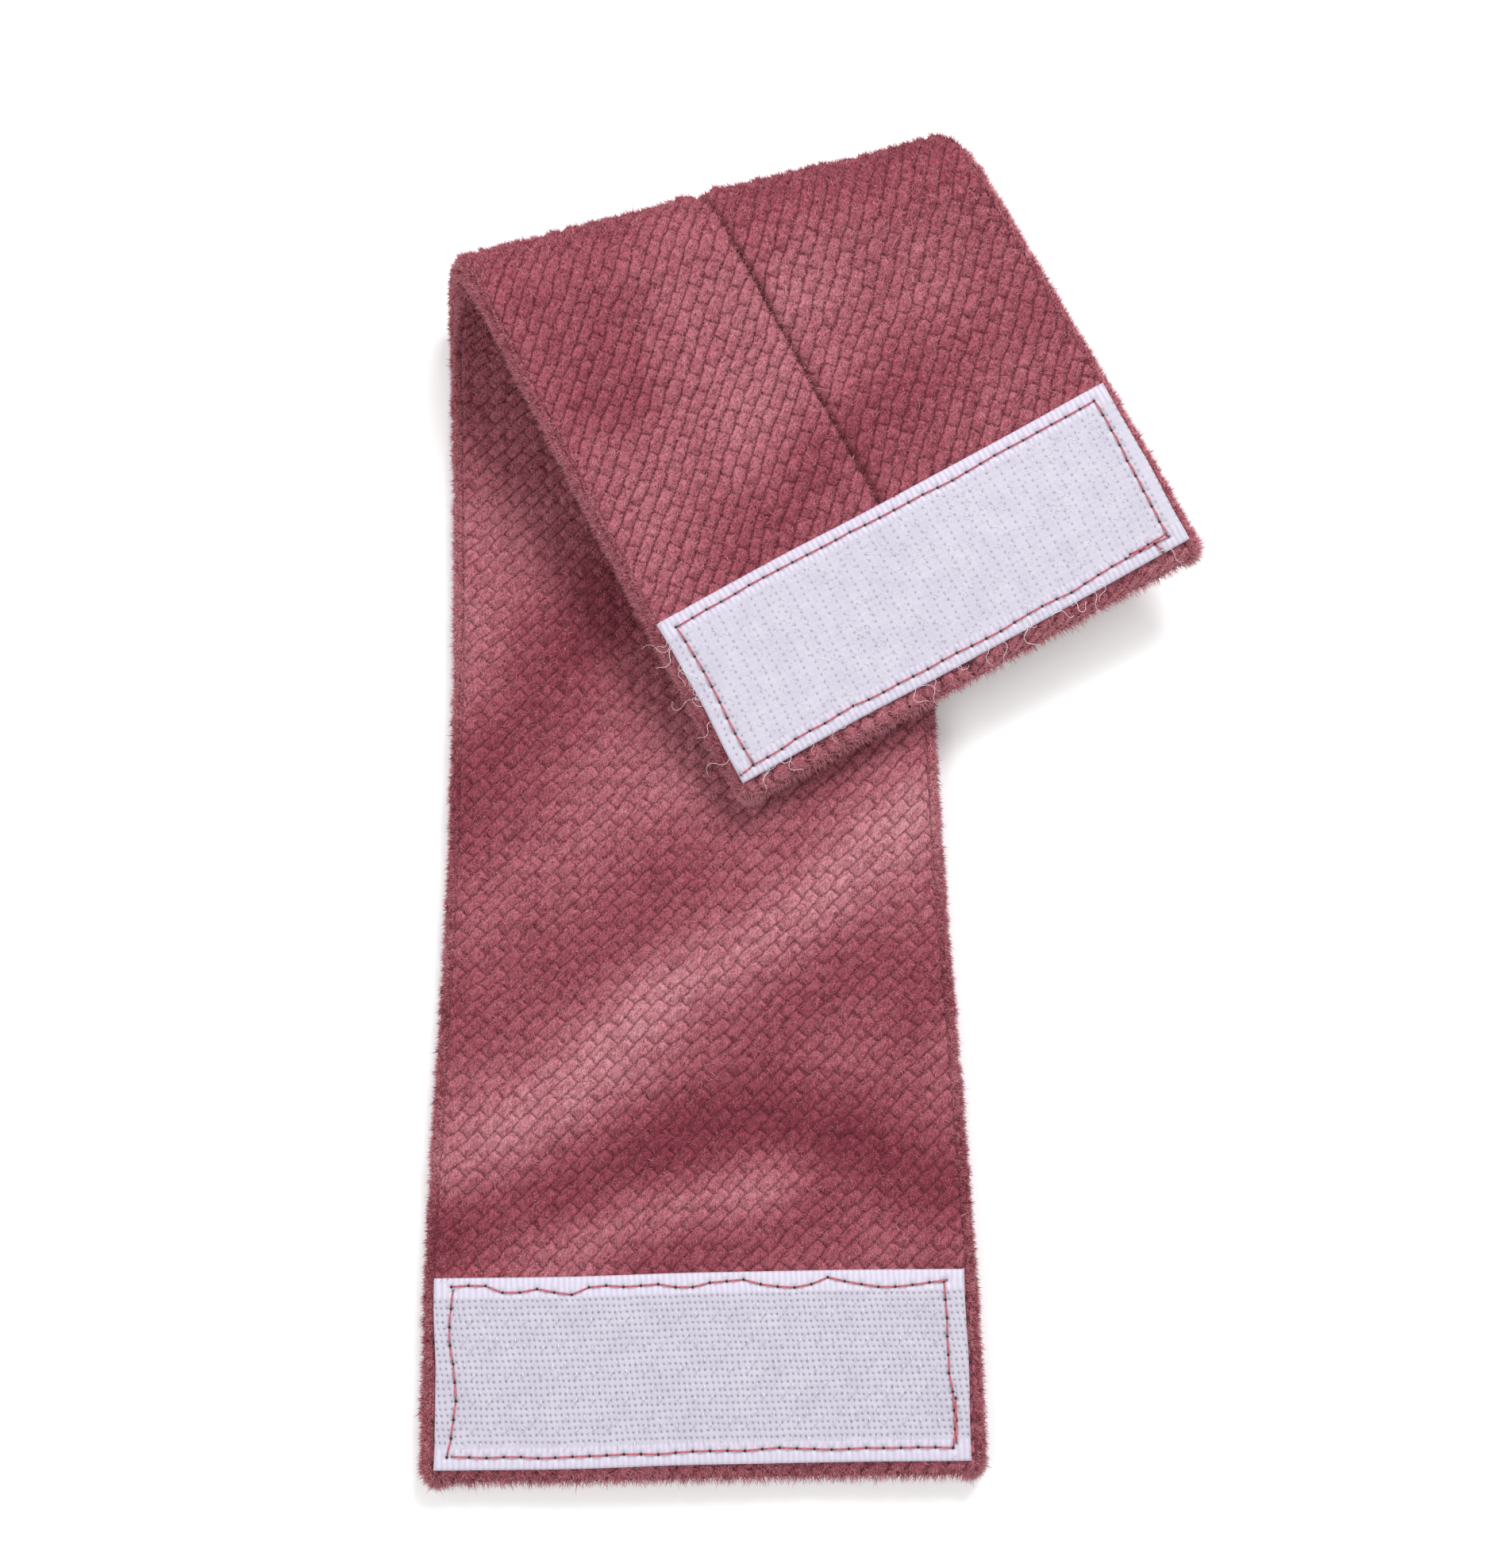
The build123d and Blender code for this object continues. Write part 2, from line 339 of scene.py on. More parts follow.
def tubes(paths, radii, sides):
    """Closed tubes along many paths of equal length: paths is (tubes, points, 3), radii (tubes, points)."""
    count, steps, _ = paths.shape
    ahead = np.gradient(paths, axis=1)
    ahead /= np.linalg.norm(ahead, axis=2, keepdims=True) + 1e-12
    guide = np.where(np.abs(ahead[..., 2:]) < 0.8, [0.0, 0.0, 1.0], [1.0, 0.0, 0.0])
    left = np.cross(ahead, guide)
    left /= np.linalg.norm(left, axis=2, keepdims=True) + 1e-12
    for i in range(1, steps):
        carried = left[:, i - 1] - ahead[:, i] * np.sum(left[:, i - 1] * ahead[:, i], 1, keepdims=True)
        left[:, i] = carried / (np.linalg.norm(carried, axis=1, keepdims=True) + 1e-12)
    over = np.cross(ahead, left)
    angle = 2 * pi * np.arange(sides) / sides
    ring = left[:, :, None] * np.cos(angle)[:, None] + over[:, :, None] * np.sin(angle)[:, None]
    points = (paths[:, :, None] + ring * radii[:, :, None, None]).reshape(-1, 3)
    i, j = np.meshgrid(np.arange(steps - 1), np.arange(sides), indexing="ij")
    a, b = i * sides + j, i * sides + (j + 1) % sides
    quads = np.stack([a, b, b + sides, a + sides], -1).reshape(-1, 4)
    tris = np.concatenate([quads[:, [0, 1, 2]], quads[:, [0, 2, 3]]])
    caps = [[0, k + 1, k] for k in range(1, sides - 1)]
    last = (steps - 1) * sides
    caps += [[last, last + k, last + k + 1] for k in range(1, sides - 1)]
    tris = np.concatenate([tris, caps])
    return points, (tris[None] + (np.arange(count) * steps * sides)[:, None, None]).reshape(-1, 3)


def atlas_uv(faces_each, total):
    """A cell of its own in the unit square for every group of faces_each triangles."""
    groups = -(-total // faces_each)
    wide = int(np.ceil(np.sqrt(groups)))
    cell = np.arange(total) // faces_each
    corner = np.array([[0.12, 0.12], [0.88, 0.12], [0.5, 0.88]])
    origin = np.stack([cell % wide, cell // wide], -1)[:, None]
    return ((origin + corner[None]) / wide).reshape(-1, 2)


def hair_uv(count):
    """A cell for every hair: its root's three corners on the cell's corners and its tip in the middle."""
    wide = int(np.ceil(np.sqrt(count)))
    corner = np.array([[0.08, 0.08], [0.92, 0.08], [0.5, 0.92], [0.5, 0.42]])
    cell = np.arange(count)
    origin = np.stack([cell % wide, cell // wide], -1)[:, None]
    return ((origin + corner[None]) / wide).reshape(-1, 2)


# ---- Materials ----
def srgb(*levels):
    """A colour written in 0 to 255 sRGB, as the linear colour the nodes need."""
    c = np.array(levels) / 255
    return (*np.where(c <= 0.04045, c / 12.92, ((c + 0.055) / 1.055) ** 2.4), 1.0)


class Nodes:
    """Short calls for building a material's nodes."""

    def __init__(self, name):
        self.material = bpy.data.materials.new(name)
        self.material.use_nodes = True
        self.tree = self.material.node_tree
        self.shader = self.tree.nodes["Principled BSDF"]

    def put(self, socket, value):
        if isinstance(value, bpy.types.NodeSocket):
            self.tree.links.new(value, socket)
        elif value is not None:
            socket.default_value = value

    def add(self, kind, **inputs):
        node = self.tree.nodes.new(kind)
        for name, value in inputs.items():
            self.put(node.inputs[name], value)
        return node

    def math(self, operation, a, b=None, c=None):
        node = self.tree.nodes.new("ShaderNodeMath")
        node.operation = operation
        for socket, value in zip(node.inputs, (a, b, c)):
            self.put(socket, value)
        return node.outputs[0]

    def attribute(self, name):
        node = self.tree.nodes.new("ShaderNodeAttribute")
        node.attribute_name = name
        return node

    def noise(self, place, scale, detail=3.0, roughness=0.6):
        node = self.add("ShaderNodeTexNoise", Vector=place, Scale=scale, Detail=detail, Roughness=roughness)
        return node.outputs[0]

    def ramp(self, factor, *stops):
        node = self.tree.nodes.new("ShaderNodeValToRGB")
        self.put(node.inputs[0], factor)
        elements = node.color_ramp.elements
        while len(elements) < len(stops):
            elements.new(0.5)
        for element, (at, colour) in zip(elements, stops):
            element.position = at
            element.color = colour
        return node.outputs[0]

    def mix(self, factor, a, b, kind="MIX"):
        node = self.tree.nodes.new("ShaderNodeMix")
        node.data_type = "RGBA"
        node.blend_type = kind
        for index, value in ((0, factor), (6, a), (7, b)):
            self.put(node.inputs[index], value)
        return node.outputs[2]

    def bump(self, height, strength, distance, normal=None):
        bump = dict(Height=height, Strength=strength, Distance=distance, Normal=normal)
        return self.add("ShaderNodeBump", **bump).outputs[0]

    def finish(self, colour, roughness, **constants):
        self.put(self.shader.inputs["Base Color"], colour)
        self.put(self.shader.inputs["Roughness"], roughness)
        for name, value in constants.items():
            self.put(self.shader.inputs[name.replace("_", " ")], value)
        return self.material


ROSE_DEEP_SHADE, ROSE_DARK = srgb(98, 32, 48), srgb(138, 54, 71)
ROSE_MID, ROSE_LIGHT, ROSE_TIP = srgb(180, 94, 107), srgb(212, 134, 146), srgb(231, 164, 173)
ROSE_SHEEN = srgb(235, 180, 190)


def plush_material():
    """Cut pile in slanting ribs: grooves painted dark as shade below lighter crowns, and patches of painted
    sheen and shade where the nap lies over.
    """
    n = Nodes("plush")
    cell, flat = n.attribute("cell").outputs["Vector"], n.attribute("flat").outputs["Vector"]
    stretch = n.add("ShaderNodeMapping", Vector=flat, Rotation=(0, 0, -PILE_LEAN), Scale=(1.0, 0.42, 1.0))
    stretched = stretch.outputs[0]
    fine = n.noise(stretched, 4.2, 4.0, 0.75)
    hairs = n.noise(stretched, 11.0, 2.0, 0.7)
    split = n.add("ShaderNodeSeparateXYZ", Vector=cell)
    fray = n.math("ADD", n.math("SUBTRACT", fine, 0.5), n.math("SUBTRACT", hairs, 0.5))
    across = n.math("MULTIPLY_ADD", fray, 0.42, split.outputs["X"])
    along = n.math("MULTIPLY_ADD", fray, 0.30, split.outputs["Y"])
    rib = n.math("FLOOR", across)
    off_middle = n.math("SUBTRACT", n.math("SUBTRACT", across, rib), 0.5)
    u = n.math("MULTIPLY", n.math("ABSOLUTE", off_middle), 2.0)
    shift = n.math("MULTIPLY", n.math("MODULO", rib, 2.0), 0.5)
    wobble = n.math("MULTIPLY", n.math("SINE", n.math("MULTIPLY", rib, 12.9898)), 0.12)
    step = n.math("ADD", n.math("ADD", along, n.math("ABSOLUTE", shift)), wobble)
    v = n.math("MULTIPLY", n.math("ABSOLUTE", n.math("SUBTRACT", n.math("FRACT", step), 0.5)), 2.0)
    dome = n.math(
        "MULTIPLY",
        n.math("SUBTRACT", 1.0, n.math("POWER", u, 4.0)),
        n.math("SUBTRACT", 1.0, n.math("POWER", v, 12.0)),
    )
    # painted sheen and shade from the nap strokes, on a random tone from the two noises
    nap = n.attribute("nap").outputs["Fac"]
    level = n.math("MULTIPLY_ADD", nap, 0.30, 0.53)
    level = n.math("ADD", level, n.math("MULTIPLY", n.math("SUBTRACT", fine, 0.5), 1.2))
    level = n.math("ADD", level, n.math("MULTIPLY", n.math("SUBTRACT", hairs, 0.5), 1.2))
    body = n.ramp(level, (0.0, ROSE_DARK), (0.42, ROSE_MID), (0.8, ROSE_LIGHT), (1.0, ROSE_TIP))
    # painted shade: the grooves between the tufts are painted towards deep rose, less where the pile is
    # laid over them
    ragged = n.math("SUBTRACT", dome, n.math("MULTIPLY", n.math("SUBTRACT", fine, 0.30), 1.2))
    cover = n.ramp(ragged, (0.0, (0, 0, 0, 1)), (0.45, (1, 1, 1, 1)))
    laid = n.attribute("laid").outputs["Fac"]
    bare = n.math("SUBTRACT", 1.0, cover)
    cover = n.math("ADD", cover, n.math("MULTIPLY", bare, n.math("MULTIPLY", laid, 0.2)))
    # painted shade: the seam's valley is painted darker still
    sewn = n.attribute("seam").outputs["Fac"]
    cover = n.math("MULTIPLY", cover, n.math("SUBTRACT", 1.0, n.math("MULTIPLY", sewn, 0.9)))
    colour = n.mix(n.math("MULTIPLY_ADD", cover, 0.85, 0.15), ROSE_DEEP_SHADE, body)
    speckle = n.math("ADD", n.math("MULTIPLY", fine, 1.5), hairs)
    height = n.math("ADD", n.math("MULTIPLY", dome, 0.5), speckle)
    return n.finish(
        colour, 0.92, Normal=n.bump(height, 0.8, 0.0003),
        Sheen_Weight=0.22, Sheen_Roughness=0.45, Sheen_Tint=ROSE_SHEEN, Specular_IOR_Level=0.15,
    )


def nap_material():
    """Single pile hairs, painted darker at the root than at the tip as shade deep in the pile."""
    n = Nodes("nap")
    tip, tint_and_shade = n.attribute("tip").outputs["Fac"], n.attribute("tint_and_shade").outputs["Fac"]
    level = n.math("ADD", n.math("MULTIPLY", tip, 0.40), n.math("MULTIPLY", tint_and_shade, 0.62))
    colour = n.ramp(
        level, (0.0, ROSE_DEEP_SHADE), (0.2, ROSE_DARK), (0.45, ROSE_MID), (0.7, ROSE_LIGHT), (1.0, ROSE_TIP),
    )
    return n.finish(
        colour, 0.85,
        Sheen_Weight=0.2, Sheen_Roughness=0.4, Sheen_Tint=ROSE_SHEEN, Specular_IOR_Level=0.2,
    )


plush, nap_hair = plush_material(), nap_material()


# ---- Cut the skin into pieces, one over each joint ----
hinges = [(s, 0.0) for s in HOOK_HINGES]
hinges += [(s, SKEW) for s in FOLD_HINGES]
hinges += [(s, 0.0) for s in LOOP_HINGES]
cuts = [(a[0] + b[0]) / 2 for a, b in zip(hinges, hinges[1:])]
CUT_BEFORE_FOLD, CUT_AFTER_FOLD = 128.45, 161.65
cuts[7], cuts[11] = CUT_BEFORE_FOLD, CUT_AFTER_FOLD
# how far the bend line reaches before and after its hinge, where it isn't halfway to the next hinge
END_BEND = 2.6
REACHES = {0: (END_BEND, END_BEND), 7: (3.4, 3.4), 12: (1.5, 1.5), 15: (END_BEND, END_BEND)}
INNER_RADIUS = ARC_RADIUS - HALF_THICK - 0.3
FOLD_REACH = INNER_RADIUS * sin(FOLD_CHORD / 2 / ARC_RADIUS)


def bend_line(index):
    """Two points on the band's middle, in the row frame, a little before and after a hinge."""
    station, slant = hinges[index]
    if slant:
        middle = place(0, station, 0)
        step = place(0, station + 0.05, 0) - place(0, station - 0.05, 0)
        across = np.array([cos(SKEW), sin(SKEW), 0])
        step -= across * np.dot(step, across)
        step *= FOLD_REACH / 1000 / np.linalg.norm(step)
        return middle - step, middle + step
    low, high = REACHES[index] if index in REACHES else (station - cuts[index - 1], cuts[index] - station)
    return place(0, station - low, 0), place(0, station + high, 0)


edges = [0] + [int(np.argmin(np.abs(rows - c))) for c in cuts] + [len(rows) - 1]
mirror = (columns // 2 - np.arange(columns)) % columns
vertex = np.arange(len(rows) * columns).reshape(len(rows), columns)
underside = ~on_front & (turn < pi / 2)
for end_row in (0, -1):
    vertex[end_row] = np.where(underside, vertex[end_row][mirror], vertex[end_row])

all_points = skin.reshape(-1, 3)
all_cells = np.stack([across, along, dome], -1).reshape(-1, 3)
all_flat = np.stack([cloth, y, h * 0.5], -1).reshape(-1, 3)
# painted light: the pile round the loop end is painted lighter, as it turns away from the key lamp
nap = nap + 1.3 * (1 - to_end) * (y > LENGTH / 2)
all_nap_sheen = nap.ravel()
all_clump = clump.ravel()
all_end = (1 - to_end).ravel()
all_laid = (np.interp(y, [98, 114], [1, 0]) * on_front[S]).ravel()
seam_shade = np.exp(-((seam_x / 0.34) ** 2)) * (0.75 + 0.25 * noise(y, y * 0, 0.9, 26))
all_seam = (seam_shade * (fullness > 0.9)).ravel()
down = np.gradient(skin, axis=0)
round_step = (np.roll(skin, -1, 1) - np.roll(skin, 1, 1)) / 2
normals = np.cross(down, round_step)
normals /= np.linalg.norm(normals, axis=2, keepdims=True) + 1e-12
if normals[len(rows) // 3, columns // 2, 2] < 0:
    normals = -normals
outward = normals.reshape(-1, 3)
uphill = (down / (np.linalg.norm(down, axis=2, keepdims=True) + 1e-12)).reshape(-1, 3)

# Hairs stand closer round the sides, where they show against the light, and thinner on the faces that lie
# towards the floor.  None stand under the tapes.
thick = np.where(on_front[S], np.where(y > 140, 0.6, 1.0), np.where(y < 120, 0.3, 1.0))
thick = np.where((turn[S] > 0.15) & (turn[S] < pi - 0.15), 1.0, thick)
for face, middle in ((on_front[S], HOOK_TAPE_AT), (~on_front[S], LOOP_TAPE_AT)):
    thick[face & (np.abs(x) < TAPE_ACROSS / 2 - 0.6) & (np.abs(y - middle) < TAPE_ALONG / 2 - 0.6)] = 0
all_thick = thick.ravel()
all_side = (np.sin(turn[S]) ** 2).ravel()
hair_share = np.where((turn > 0.15) & (turn < pi - 0.15), 3.0, 1.0)
hair_share /= hair_share.sum()

for index in range(16):
    first, last = edges[index], edges[index + 1]
    body_a, body_b = BODIES[index], BODIES[index + 1]
    i, j = np.meshgrid(np.arange(first, last), np.arange(columns), indexing="ij")
    ring = (j + 1) % columns
    corners = [vertex[i, j], vertex[i, ring], vertex[i + 1, ring], vertex[i + 1, j]]
    quads = np.stack(corners, -1).reshape(-1, 4)
    v0, v1 = (i - first) / (last - first), (i + 1 - first) / (last - first)
    u0, u1 = j / columns, (j + 1) / columns
    uv = np.stack([u0, v0, u1, v0, u1, v1, u0, v1], -1).reshape(-1, 4, 2)
    used, local = np.unique(quads, return_inverse=True)
    piece = make_mesh(
        f"plush_{body_a}_{body_b}", all_points[used], local.reshape(-1, 4), uv,
        {
            "cell": all_cells[used], "flat": all_flat[used], "nap": all_nap_sheen[used],
            "seam": all_seam[used], "laid": all_laid[used],
        },
    )
    piece.data.materials.append(plush)
    stands_for = [body_b] if index else [body_a, body_b]
    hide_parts(*[f"{kind}_{b}" for b in stands_for for kind in ("cover", "wadding", "seam")])
    start, end = bend_line(index)
    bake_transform(piece)

    # Hairs of the pile: each is a slim spike with three sides, rooted on a tuft and leaning at random.
    area = (last - first) * columns * GRID * GRID
    count = int(area * NAP_PER_MM2)
    r = rng.integers(first, last, count)
    c = rng.choice(columns, count, p=hair_share)
    s, t = rng.random((2, count, 1))
    near = [vertex[r, c], vertex[r, (c + 1) % columns], vertex[r + 1, (c + 1) % columns], vertex[r + 1, c]]
    weights = [(1 - s) * (1 - t), s * (1 - t), s * t, (1 - s) * t]
    root = sum(w * all_points[k] for w, k in zip(weights, near))
    normal, lengthwise = outward[near[0]], uphill[near[0]]
    on_tuft = (all_cells[near[0], 2] > TUFT_TOP) | (all_end[near[0]] > 0.1)
    off_floor = root[:, 2] + normal[:, 2] * 0.0006 > 0.0001
    keep = on_tuft & off_floor & (rng.random(count) < all_thick[near[0]])
    root, normal, lengthwise, beside = root[keep], normal[keep], lengthwise[keep], near[0][keep]
    nap_sheen_tone, at_end, at_side, bunch = all_nap_sheen[beside], all_end[beside], all_side[beside], all_clump[beside]
    count = len(root)
    across_way = np.cross(normal, lengthwise)
    lean = np.stack([rng.normal(HAIR_LEAN, HAIR_SPREAD, count), rng.normal(0, HAIR_SPREAD, count)], -1)
    way = normal + lengthwise * lean[:, :1] + across_way * lean[:, 1:]
    way /= np.linalg.norm(way, axis=1, keepdims=True)
    length = rng.uniform(*HAIR_LENGTH, (count, 1)) / 1000
    length = np.where(rng.random((count, 1)) < LONG_HAIR_SHARE, length * LONG_HAIR_GAIN, length)
    length = length * (1 + END_HAIR_GAIN * at_end[:, None])
    width = rng.uniform(*HAIR_RADIUS, (count, 1)) / 1000
    base = root - normal * HAIR_ROOT_DEPTH / 1000
    spin = rng.uniform(0, 2 * pi, (count, 1))
    legs = [
        base + width * (across_way * np.cos(spin + k) + lengthwise * np.sin(spin + k))
        for k in (0, 2 * pi / 3, 4 * pi / 3)
    ]
    tip_point = base + way * (length + HAIR_ROOT_DEPTH / 1000)
    points = np.stack([*legs, tip_point], 1).reshape(-1, 3)
    points[:, 2] = np.maximum(points[:, 2], LOWEST)
    shape = np.array([[0, 2, 1], [0, 1, 3], [1, 2, 3], [2, 0, 3]])
    faces = (shape[None] + 4 * np.arange(count)[:, None, None]).reshape(-1, 3)
    # painted light: hairs at the band's ends and round its sides are painted lighter, and each hair carries
    # the nap's painted sheen and shade; the clumps and the spread are random tone
    tint_and_shade = HAIR_TINT + 0.40 * at_end + 0.20 * at_side + 0.36 * nap_sheen_tone + 0.5 * bunch
    tint_and_shade = np.clip(tint_and_shade + rng.normal(0, HAIR_TINT_SPREAD, count), 0, 1)
    hairs = make_mesh(
        f"nap_{body_a}_{body_b}", points, faces, hair_uv(count)[faces],
        {"tip": np.tile([0, 0, 0, 1.0], count), "tint_and_shade": np.repeat(tint_and_shade, 4)},
    )
    hairs.data.materials.append(nap_hair)
    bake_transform(hairs)


# ---- Tapes ----
FACE = {"hook": 1.0, "loop": -1.0}
AT = {"hook": HOOK_TAPE_AT, "loop": LOOP_TAPE_AT}
BODY = {"hook": "hook_end", "loop": "loop_end"}
TAPE_GRID = 0.14
SELVEDGE = 2.1
BASE_TOP, BASE_BOTTOM = 0.5, -0.35
STITCH_PITCH, THREAD = 1.85, 0.105
RIB = 0.62
RELIEF = {"hook": 0.45, "loop": 0.2}
GROUND_ROUGH = {"hook": 0.03, "loop": 0.012}
PIT_SHADE_STRENGTH = {"hook": 1.15, "loop": 0.75}
GROUND = {
    "hook": (srgb(178, 173, 189), srgb(193, 189, 203), srgb(208, 205, 217)),
    "loop": (srgb(186, 181, 197), srgb(200, 196, 210), srgb(214, 211, 223)),
}
# how strongly every other column of pits is the darker one
COLUMN_CONTRAST = {"hook": 0.0, "loop": 0.45}
# the weave of each ground: pitch across, pitch along, and how far the rows slant
WEAVE = {"hook": (0.61, 0.70, 0.15), "loop": (0.68, 0.79, 0.0)}


def on_tape(kind, u, v, height):
    """A point on a tape in the row frame: u across the band, v along it, height above the band's face."""
    ripple = 0.10 * noise(u, v, 9.0, 41 + len(kind)) + 0.16 * noise(u, v, 24.0, 43)
    curl = 0.22 * (np.clip((np.abs(u) - 25.4) / 3, 0, 1) ** 2 + np.clip((np.abs(v) - 7.8) / 2.2, 0, 1) ** 2)
    u_bent = u + 0.25 * noise(v, u * 0.3, 7.0, 45)
    v_bent = v + 0.22 * noise(u, v * 0.2, 15.0, 46)
    sign = FACE[kind]
    return place(u_bent, AT[kind] + v_bent, sign * (HALF_THICK + 0.1 + height + ripple - curl))


def stitch_line(kind):
    """Points round the box of stitching, with the ends of every stitch, and the wander of the needle."""
    reach_u, reach_v = TAPE_ACROSS / 2 - 1.9, TAPE_ALONG / 2 - 1.35
    runs = [
        ((-reach_u, reach_v), (reach_u, reach_v)), ((reach_u, reach_v), (reach_u, -reach_v)),
        ((reach_u, -reach_v), (-reach_u, -reach_v)), ((-reach_u, -reach_v), (-reach_u, reach_v)),
    ]
    tack = (reach_u + 0.35, -reach_v + 0.5) if kind == "hook" else (reach_u - 0.2, reach_v - 0.4)
    if kind == "hook":
        runs.append(((tack[0], tack[1] + 4.6), tack))
    else:
        runs.append(((tack[0] - 4.6, tack[1]), tack))
        runs.append(((reach_u - 1.8, reach_v), (reach_u - 1.4, TAPE_ALONG / 2 - 0.1)))
        runs.append(((-reach_u, reach_v), (-TAPE_ACROSS / 2 + 0.2, reach_v + 0.3)))
    stitches = []
    for order, (a, b) in enumerate(runs):
        a, b = np.array(a), np.array(b)
        length = np.linalg.norm(b - a)
        count = max(1, round(length / STITCH_PITCH))
        way = (b - a) / length
        sideways = np.array([-way[1], way[0]])
        at = np.linspace(0, length, count + 1)
        rough = (0.55, 0.34, 0.24, 0.55, 0.15)[order] if kind == "hook" else 0.15
        offset = rough * noise(at, at * 0 + order * 7, 3.1, 51 + len(kind))
        offset = offset + 0.12 * noise(at, at * 0, 9.0, 52 + order)
        knots = a + way * at[:, None] + sideways * offset[:, None]
        stitches += list(zip(knots, knots[1:]))
    return np.array(stitches)


def tape_material(kind, glint):
    """Woven nylon ground: pits between the threads and needle holes painted dark as shade, ribbed selvedges
    and soft uneven patches.
    """
    n = Nodes(f"{kind}_ground")
    flat = n.attribute("flat").outputs["Vector"]
    field, needle_hole_shade = n.attribute("field").outputs["Fac"], n.attribute("needle_hole_shade").outputs["Fac"]
    across, along, slant = WEAVE[kind]
    uneven = n.noise(flat, 0.5, 2.0, 0.5)
    split = n.add("ShaderNodeSeparateXYZ", Vector=flat)
    u = n.math("MULTIPLY_ADD", uneven, 0.5, split.outputs["X"])
    v = n.math("MULTIPLY_ADD", uneven, 0.4, split.outputs["Y"])
    u_turn = n.math("MULTIPLY", n.math("MULTIPLY_ADD", v, slant, u), 2 * pi / across)
    v_turn = n.math("MULTIPLY", v, 2 * pi / along)
    gap_u = n.math("MULTIPLY_ADD", n.math("COSINE", u_turn), 0.5, 0.5)
    gap_v = n.math("MULTIPLY_ADD", n.math("COSINE", v_turn), 0.5, 0.5)
    pit = n.math("MULTIPLY", n.math("POWER", gap_u, 2.2), n.math("POWER", gap_v, 2.2))
    column = n.math("COSINE", n.math("MULTIPLY", u_turn, 0.5))
    column = n.math("MULTIPLY_ADD", column, COLUMN_CONTRAST[kind], 1 - COLUMN_CONTRAST[kind])
    pit = n.math("MULTIPLY", pit, column)
    threads = n.math("MULTIPLY", n.math("ADD", gap_u, gap_v), 0.5)
    rib = n.math("MULTIPLY_ADD", n.math("COSINE", n.math("MULTIPLY", u, 2 * pi / RIB)), 0.5, 0.5)
    grain = n.noise(flat, 5.0, 3.0, 0.65)
    cloudy = n.noise(flat, 0.30, 3.0, 0.6)
    # painted shade: the pits between the threads are painted dark, patchily
    depth = n.math("MULTIPLY", n.math("MULTIPLY", pit, field), n.math("MULTIPLY_ADD", grain, 1.6, -0.05))
    level = n.math("MULTIPLY_ADD", grain, 0.5, n.math("MULTIPLY", cloudy, 0.6))
    ground = n.ramp(level, (0.25, GROUND[kind][0]), (0.55, GROUND[kind][1]), (0.85, GROUND[kind][2]))
    edging = n.mix(n.math("MULTIPLY", rib, 0.55), srgb(213, 208, 223), srgb(185, 177, 201))
    ground = n.mix(field, edging, ground)
    ground = n.mix(n.math("MULTIPLY", depth, PIT_SHADE_STRENGTH[kind]), ground, srgb(112, 100, 124))
    # painted shade: the needle holes are painted dark rose, the thread in shade
    colour = n.mix(needle_hole_shade, ground, srgb(92, 34, 48))
    edge_rib = n.math("MULTIPLY", rib, n.math("SUBTRACT", 1.0, field))
    raised = n.math("SUBTRACT", edge_rib, n.math("MULTIPLY", threads, field))
    height = n.math("ADD", raised, n.math("MULTIPLY", grain, 0.8))
    rough = n.ramp(grain, (0.35, (0.38, 0.38, 0.38, 1)), (0.6, (0.62, 0.62, 0.62, 1)))
    return n.finish(
        colour, rough, Normal=n.bump(height, RELIEF[kind], 0.0001),
        Sheen_Weight=0.15, Sheen_Roughness=0.5, Specular_IOR_Level=glint,
    )


def filament_material(name, roughness, low, high, specular):
    """Nylon filament, painted duller low down near the ground and brighter up at its crown, as painted
    shade and light.
    """
    n = Nodes(name)
    tint_and_shade = n.attribute("tint_and_shade").outputs["Fac"]
    flat = n.attribute("flat").outputs["Vector"]
    streak = n.noise(flat, 4.0, 2.0, 0.5)
    level = n.math("ADD", n.math("MULTIPLY", tint_and_shade, 0.7), n.math("MULTIPLY", streak, 0.3))
    return n.finish(n.ramp(level, (0.1, low), (0.9, high)), roughness, Specular_IOR_Level=specular)


def thread_material():
    """Two-ply thread, with painted shade in the twist and where it enters the cloth."""
    n = Nodes("thread")
    twist, depth = n.attribute("twist").outputs["Fac"], n.attribute("tint_and_shade").outputs["Fac"]
    fuzz = n.noise(n.attribute("flat").outputs["Vector"], 7.0, 3.0, 0.6)
    ply = n.math("MULTIPLY_ADD", n.math("SINE", twist), 0.5, 0.5)
    level = n.math("ADD", n.math("MULTIPLY", ply, 0.25), n.math("MULTIPLY", fuzz, 0.2))
    level = n.math("ADD", n.math("MULTIPLY", depth, 0.6), level)
    colour = n.ramp(
        level,
        (0.0, srgb(60, 20, 30)), (0.25, srgb(120, 42, 56)),
        (0.6, srgb(176, 78, 90)), (1.0, srgb(206, 118, 126)),
    )
    return n.finish(colour, 0.7, Normal=n.bump(ply, 0.4, 0.00006), Sheen_Weight=0.3, Specular_IOR_Level=0.3)


thread = thread_material()
grounds = {"hook": tape_material("hook", 0.5), "loop": tape_material("loop", 0.35)}
filaments = {
    "hook": filament_material("hook_filament", 0.22, srgb(216, 212, 228), srgb(240, 239, 247), 0.9),
    "loop": filament_material("loop_filament", 0.4, srgb(232, 229, 240), srgb(252, 251, 255), 0.6),
}


